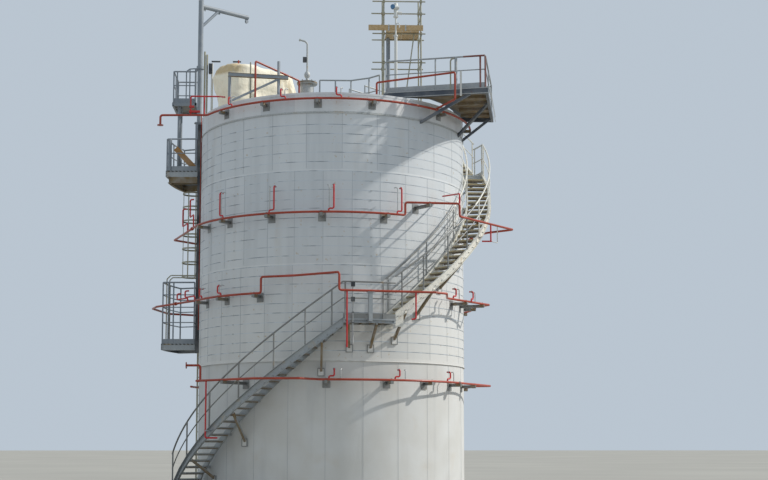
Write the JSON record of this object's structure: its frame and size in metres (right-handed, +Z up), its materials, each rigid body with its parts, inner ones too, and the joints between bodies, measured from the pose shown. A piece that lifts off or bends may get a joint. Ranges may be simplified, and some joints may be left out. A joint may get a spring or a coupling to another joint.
{
  "type": "insulated cylindrical storage tank",
  "caption": "Insulated upright storage tank on a concrete plinth, with a helical stair, red ring mains, side platforms, a caged ladder, roof gear and a swinging davit.",
  "frame": {"origin": "centre of the plinth's underside, where it rests on level ground", "axes": "+Z up along the tank's axis; the pictured front faces -Y, with +X to the right"},
  "size_m": [11.5225, 9.9302, 16.2],
  "materials": {
    "concrete": "cast concrete, weathered",
    "cladding": "coated sheet with raised bands and rust-yellow streaks",
    "fascia_sheet": "coated sheet, cream-white, weathered",
    "roof_sheet": "coated sheet, dull",
    "galvanised_steel": "hot-dip galvanised, dull, with brown stains",
    "red_paint": "gloss paint, sun-faded",
    "blue_grey_paint": "satin paint, weathered",
    "tarpaulin": "cream coated cloth, creased",
    "timber": "bare scaffold boards, weathered",
    "white_paint": "satin white paint"
  },
  "bodies": {
    "tank": {"foundation_plinth": "concrete", "shell_segment_1": "cladding", "shell_segment_2": "cladding", "shell_segment_3": "cladding", "shell_segment_4": "cladding", "shell_segment_5": "cladding", "shell_segment_6": "cladding", "top_fascia": "fascia_sheet", "roof": "roof_sheet", "stair_lower_flight": "galvanised_steel", "stair_landing": "galvanised_steel", "stair_upper_flight_1": "galvanised_steel", "stair_upper_flight_2": "galvanised_steel", "stair_rest_landing": "galvanised_steel", "stair_top_flight": "galvanised_steel", "stair_roof_landing": "galvanised_steel", "handrail_lower": "galvanised_steel", "handrail_landing": "galvanised_steel", "handrail_upper_1": "galvanised_steel", "handrail_inner_1": "galvanised_steel", "handrail_upper_2": "galvanised_steel", "handrail_inner_2": "galvanised_steel", "handrail_rest_landing": "galvanised_steel", "handrail_top_flight": "galvanised_steel", "handrail_roof_landing": "galvanised_steel", "caged_ladder": "galvanised_steel", "access_ladder": "galvanised_steel", "roof_vent": "galvanised_steel", "scaffold_frame": "galvanised_steel", "roof_railing": "galvanised_steel", "roof_walkway": "galvanised_steel", "platform_top_right": "galvanised_steel", "handrail_top_right": "galvanised_steel", "ring_main_lower_front": "red_paint", "ring_main_lower_rear": "red_paint", "ring_main_middle_front": "red_paint", "ring_main_middle_rear": "red_paint", "ring_main_upper_front": "red_paint", "ring_main_upper_rear": "red_paint", "ring_main_top_front": "red_paint", "ring_main_top_rear": "red_paint", "roof_pipe": "red_paint", "cable_channel": "blue_grey_paint", "platform_lower": "blue_grey_paint", "platform_upper": "blue_grey_paint", "platform_high": "blue_grey_paint", "davit_socket": "blue_grey_paint", "pipe_frame": "blue_grey_paint", "roof_column": "blue_grey_paint", "tarpaulin_cover": "tarpaulin", "scaffold_deck": "timber", "instrument_mast": "white_paint", "roof_walkway_rail_1": "galvanised_steel", "roof_walkway_rail_2": "galvanised_steel"},
    "swing_davit": {"davit": "blue_grey_paint"}
  },
  "joints": [
    {"name": "davit_swing", "type": "hinge", "parent": "tank", "child": "swing_davit", "pos_m": [-4.37, 0.54, 12], "axis": [0, 0, 1], "range_deg": [-150, 150]}
  ]
}
